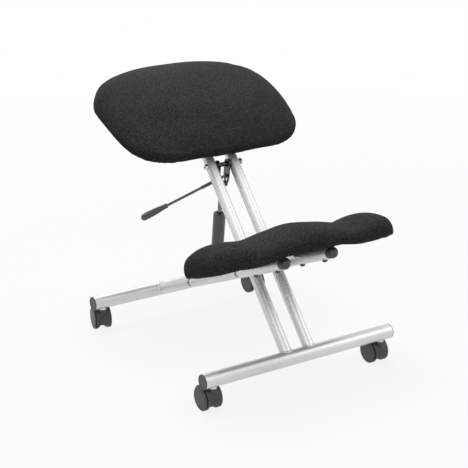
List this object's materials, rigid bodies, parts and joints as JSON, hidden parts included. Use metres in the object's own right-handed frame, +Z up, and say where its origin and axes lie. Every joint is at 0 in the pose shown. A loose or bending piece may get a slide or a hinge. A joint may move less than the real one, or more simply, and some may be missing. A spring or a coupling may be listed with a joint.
{
  "type": "kneeling chair",
  "caption": "Kneeling chair: crowned fabric seat and knee pad on a crossed round-tube frame with a lockable gas strut, release lever and twin-wheel castors.",
  "frame": {"origin": "on the floor under the middle of the chair's box", "axes": "+X across the chair to its right side seen from the front, +Y from the knee pad's side to the seat's back, +Z up"},
  "size_m": [0.478, 0.6362, 0.5978],
  "materials": {
    "silver_paint": "satin",
    "black_plastic": "matte",
    "charcoal_fabric": "matte",
    "plywood": "matte",
    "black_metal": "satin",
    "bright_steel": "satin",
    "polished_rod": "polished"
  },
  "bodies": {
    "seat_frame": {"front_cross_tube": "silver_paint", "front_castor_sockets": "bright_steel", "front_castor_stems": "bright_steel", "front_left_end_cap": "black_plastic", "front_right_end_cap": "black_plastic", "left_seat_leg": "silver_paint", "right_seat_leg": "silver_paint", "leg_bushes": "black_plastic", "pivot_sleeve": "black_metal", "upper_strut_bolt": "bright_steel", "upper_strut_nut": "bright_steel", "upper_strut_sleeve": "black_metal", "upper_strut_washers": "black_metal", "seat_plate": "black_metal", "seat_board": "plywood", "seat_cushion": "charcoal_fabric", "seat_screws": "black_metal"},
    "knee_frame": {"rear_cross_tube": "silver_paint", "rear_castor_sockets": "bright_steel", "rear_castor_stems": "bright_steel", "rear_left_end_cap": "black_plastic", "rear_right_end_cap": "black_plastic", "left_knee_rail": "silver_paint", "right_knee_rail": "silver_paint", "left_ball_cap": "black_plastic", "right_ball_cap": "black_plastic", "rail_bushes": "black_plastic", "rail_bolts": "bright_steel", "rail_nuts": "bright_steel", "pivot_washers": "black_plastic", "lower_strut_sleeves": "black_metal", "knee_board": "plywood", "knee_cushion": "charcoal_fabric", "knee_screws": "black_metal"},
    "strut_outer": {"strut_cylinder": "black_metal", "strut_gland": "black_metal", "strut_lower_eye": "black_metal"},
    "strut_inner": {"strut_rod": "polished_rod", "strut_piston": "black_metal", "release_head": "black_metal"},
    "lever": {"release_lever": "black_metal", "lever_grip": "black_plastic"},
    "pin": {"release_pin": "polished_rod"},
    "front_left_castor": {"front_left_castor_hood": "black_plastic", "front_left_castor_axle": "bright_steel"},
    "front_left_outer_wheel": {"front_left_castor_outer_wheel": "black_plastic"},
    "front_left_inner_wheel": {"front_left_castor_inner_wheel": "black_plastic"},
    "front_right_castor": {"front_right_castor_hood": "black_plastic", "front_right_castor_axle": "bright_steel"},
    "front_right_outer_wheel": {"front_right_castor_outer_wheel": "black_plastic"},
    "front_right_inner_wheel": {"front_right_castor_inner_wheel": "black_plastic"},
    "rear_left_castor": {"rear_left_castor_hood": "black_plastic", "rear_left_castor_axle": "bright_steel"},
    "rear_left_outer_wheel": {"rear_left_castor_outer_wheel": "black_plastic"},
    "rear_left_inner_wheel": {"rear_left_castor_inner_wheel": "black_plastic"},
    "rear_right_castor": {"rear_right_castor_hood": "black_plastic", "rear_right_castor_axle": "bright_steel"},
    "rear_right_outer_wheel": {"rear_right_castor_outer_wheel": "black_plastic"},
    "rear_right_inner_wheel": {"rear_right_castor_inner_wheel": "black_plastic"}
  },
  "joints": [
    {"name": "frame_fold", "type": "hinge", "parent": "seat_frame", "child": "knee_frame", "pos_m": [0, -0.12664, 0.22693], "axis": [1, 0, 0], "range_deg": [-6, 18]},
    {"name": "strut_tilt", "type": "hinge", "parent": "knee_frame", "child": "strut_outer", "pos_m": [0, 0.07172, 0.13985], "axis": [1, 0, 0], "range_deg": [-11.5, 4]},
    {"name": "strut_travel", "type": "slide", "parent": "strut_outer", "child": "strut_inner", "axis": [0, -0.1167, 0.9932], "range_m": [-0.0615, 0.021]},
    {"name": "lever_press", "type": "hinge", "parent": "strut_inner", "child": "lever", "pos_m": [0.01225, 0.04261, 0.38763], "axis": [0, -0.9932, -0.1167], "range_deg": [0, 7], "stiffness_Nm_per_rad": 1, "springref_deg": -8.59},
    {"name": "pin_travel", "type": "slide", "parent": "strut_inner", "child": "pin", "axis": [0, 0.1167, -0.9932], "range_m": [0, 0.0022]},
    {"name": "front_left_swivel", "type": "hinge", "parent": "seat_frame", "child": "front_left_castor", "pos_m": [-0.214, -0.26371, 0.045], "axis": [0, 0, 1], "continuous": true},
    {"name": "front_left_outer_roll", "type": "hinge", "parent": "front_left_castor", "child": "front_left_outer_wheel", "pos_m": [-0.214, -0.24521, 0.026], "axis": [1, 0, 0], "continuous": true},
    {"name": "front_left_inner_roll", "type": "hinge", "parent": "front_left_castor", "child": "front_left_inner_wheel", "pos_m": [-0.214, -0.24521, 0.026], "axis": [1, 0, 0], "continuous": true},
    {"name": "front_right_swivel", "type": "hinge", "parent": "seat_frame", "child": "front_right_castor", "pos_m": [0.214, -0.26371, 0.045], "axis": [0, 0, 1], "continuous": true},
    {"name": "front_right_outer_roll", "type": "hinge", "parent": "front_right_castor", "child": "front_right_outer_wheel", "pos_m": [0.214, -0.24521, 0.026], "axis": [1, 0, 0], "continuous": true},
    {"name": "front_right_inner_roll", "type": "hinge", "parent": "front_right_castor", "child": "front_right_inner_wheel", "pos_m": [0.214, -0.24521, 0.026], "axis": [1, 0, 0], "continuous": true},
    {"name": "rear_left_swivel", "type": "hinge", "parent": "knee_frame", "child": "rear_left_castor", "pos_m": [-0.214, 0.22629, 0.045], "axis": [0, 0, 1], "continuous": true},
    {"name": "rear_left_outer_roll", "type": "hinge", "parent": "rear_left_castor", "child": "rear_left_outer_wheel", "pos_m": [-0.21015, 0.24438, 0.026], "axis": [0.9781, -0.2079, 0], "continuous": true},
    {"name": "rear_left_inner_roll", "type": "hinge", "parent": "rear_left_castor", "child": "rear_left_inner_wheel", "pos_m": [-0.21015, 0.24438, 0.026], "axis": [0.9781, -0.2079, 0], "continuous": true},
    {"name": "rear_right_swivel", "type": "hinge", "parent": "knee_frame", "child": "rear_right_castor", "pos_m": [0.214, 0.22629, 0.045], "axis": [0, 0, 1], "continuous": true},
    {"name": "rear_right_outer_roll", "type": "hinge", "parent": "rear_right_castor", "child": "rear_right_outer_wheel", "pos_m": [0.214, 0.24479, 0.026], "axis": [1, 0, 0], "continuous": true},
    {"name": "rear_right_inner_roll", "type": "hinge", "parent": "rear_right_castor", "child": "rear_right_inner_wheel", "pos_m": [0.214, 0.24479, 0.026], "axis": [1, 0, 0], "continuous": true}
  ],
  "couplings": [
    {"joint": "strut_tilt", "follows": "frame_fold", "ratio": -0.622},
    {"joint": "strut_travel", "follows": "frame_fold", "m_per_rad": -0.19309},
    {"joint": "pin_travel", "follows": "lever_press", "m_per_rad": 0.0165}
  ]
}
